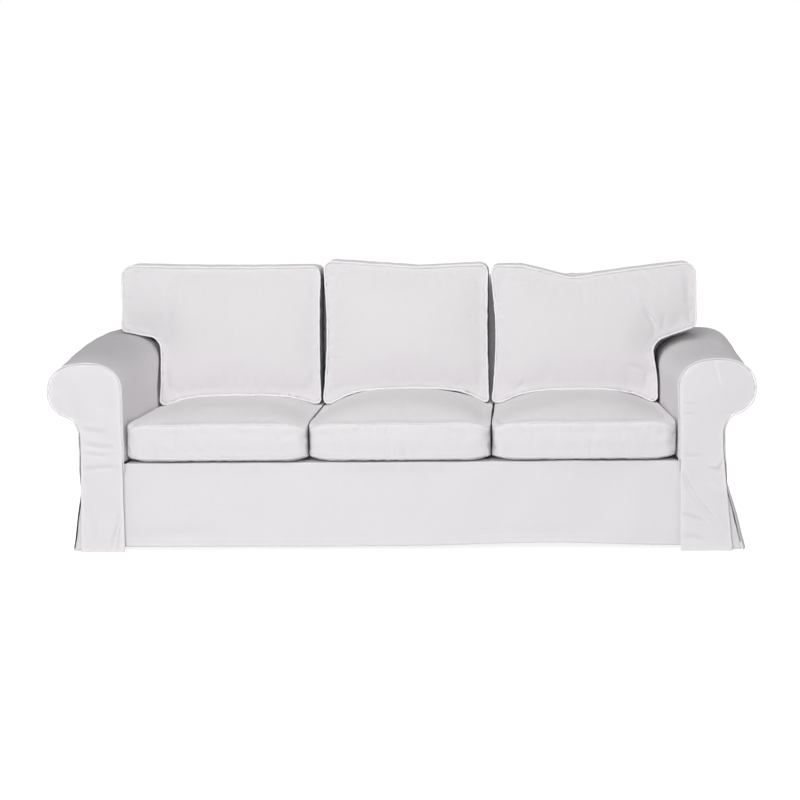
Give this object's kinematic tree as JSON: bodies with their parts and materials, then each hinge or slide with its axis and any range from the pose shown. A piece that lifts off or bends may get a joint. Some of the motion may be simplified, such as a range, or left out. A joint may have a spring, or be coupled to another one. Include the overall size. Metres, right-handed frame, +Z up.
{
  "type": "sofa slipcover",
  "caption": "Fitted white slipcover for a wide sofa with rolled arms: hollow sewn shell with a skirt to the floor, and loose boxed and piped seat and back cushions.",
  "frame": {"origin": "on the floor, under the middle of the cover's bounding box", "axes": "+X to the right as seen from the front, along the sofa's width; +Y to the back; +Z up"},
  "size_m": [2.179, 0.89, 0.8668],
  "materials": {
    "white_cotton": "matt plain-weave cotton",
    "white_piping": "matt cotton-covered cord"
  },
  "bodies": {
    "root": {"arm_back_left": "white_cotton", "arm_back_right": "white_cotton", "arm_front_left": "white_cotton", "arm_front_right": "white_cotton", "arm_piping_left": "white_piping", "arm_piping_right": "white_piping", "arm_roll_left": "white_cotton", "arm_roll_right": "white_cotton", "arm_side_left": "white_cotton", "arm_side_right": "white_cotton", "back_cushion_left": "white_cotton", "back_cushion_middle": "white_cotton", "back_cushion_right": "white_cotton", "back_piping_front_left": "white_piping", "back_piping_front_middle": "white_piping", "back_piping_front_right": "white_piping", "back_piping_rear_left": "white_piping", "back_piping_rear_middle": "white_piping", "back_piping_rear_right": "white_piping", "back_side_left": "white_cotton", "back_side_right": "white_cotton", "front_skirt": "white_cotton", "inside_back": "white_cotton", "outside_back": "white_cotton", "pleat_back_left": "white_cotton", "pleat_back_right": "white_cotton", "pleat_front_left": "white_cotton", "pleat_front_right": "white_cotton", "seat_cushion_left": "white_cotton", "seat_cushion_middle": "white_cotton", "seat_cushion_right": "white_cotton", "seat_deck": "white_cotton", "seat_piping_base_left": "white_piping", "seat_piping_base_middle": "white_piping", "seat_piping_base_right": "white_piping", "seat_piping_top_left": "white_piping", "seat_piping_top_middle": "white_piping", "seat_piping_top_right": "white_piping"}
  },
  "joints": []
}
